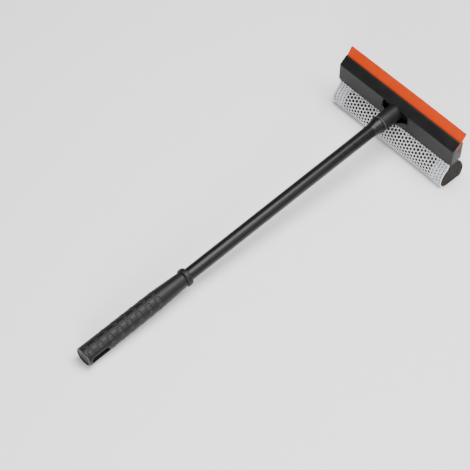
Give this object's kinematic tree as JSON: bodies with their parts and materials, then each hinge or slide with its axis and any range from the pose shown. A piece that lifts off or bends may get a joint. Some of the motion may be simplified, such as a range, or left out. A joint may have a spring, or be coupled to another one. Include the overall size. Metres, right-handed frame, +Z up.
{
  "type": "window cleaning squeegee",
  "caption": "Long-handled window squeegee: rubber blade in a plastic head, net-covered sponge beneath it, and a screw-in pole with a padded grip and hanging slot.",
  "frame": {"origin": "on the floor under the middle of the sponge, where the flattened net rests", "axes": "+Z up as the tool lies on a floor, +X along the blade, +Y from the grip towards the head; the handle's axis lies in the YZ plane and rises towards the head"},
  "size_m": [0.205, 0.5742, 0.0949],
  "materials": {
    "head_plastic": "fine moulded satin",
    "blade_rubber": "smooth silicone rubber",
    "screw_steel": "zinc plated",
    "sponge_foam": "open-cell foam",
    "net_thread": "knitted synthetic net",
    "washer_plastic": "smooth nylon",
    "handle_plastic": "satin moulded",
    "grip_plastic": "satin moulded"
  },
  "bodies": {
    "head": {"head_shell": "head_plastic", "blade": "blade_rubber", "sponge_plate": "head_plastic", "plate_screws": "screw_steel", "sponge_core": "sponge_foam", "net_sleeve": "net_thread"},
    "washer": {"washer": "washer_plastic"},
    "handle": {"collar": "handle_plastic", "pole_tube": "handle_plastic", "hand_stop": "grip_plastic", "grip_sleeve": "grip_plastic", "end_plug": "grip_plastic"}
  },
  "joints": [
    {"name": "screw_travel", "type": "slide", "parent": "head", "child": "washer", "axis": [0, -0.9956, -0.0939], "range_m": [0, 0.02]},
    {"name": "handle_turn", "type": "hinge", "parent": "washer", "child": "handle", "pos_m": [0, -0.04146, 0.06089], "axis": [0, -0.9956, -0.0939], "range_deg": [0, 1800]}
  ],
  "couplings": [
    {"joint": "handle_turn", "follows": "screw_travel", "rad_per_m": 1570.8}
  ]
}
